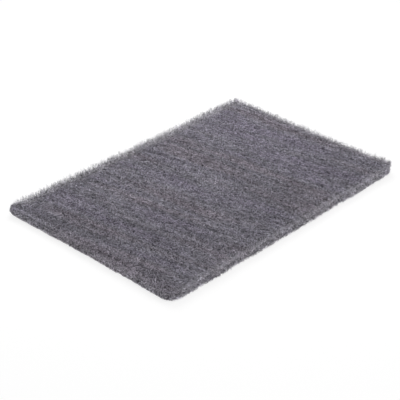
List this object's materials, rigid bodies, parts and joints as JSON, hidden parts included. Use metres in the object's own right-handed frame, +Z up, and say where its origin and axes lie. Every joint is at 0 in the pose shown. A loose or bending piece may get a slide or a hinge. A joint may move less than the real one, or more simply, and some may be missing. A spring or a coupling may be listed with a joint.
{
  "type": "sanding pad",
  "caption": "Flat rectangular hand pad of lofty bonded fibre web coated with abrasive grit, for scuffing and sanding by hand or under a pad holder.",
  "frame": {"origin": "middle of the flat underside, the face that the pad rests on", "axes": "+X along the length, +Y across the width, +Z up through the thickness"},
  "size_m": [0.2288, 0.152, 0.0072],
  "materials": {
    "fibre": "matte"
  },
  "bodies": {
    "root": {"fibre_web": "fibre"}
  },
  "joints": []
}
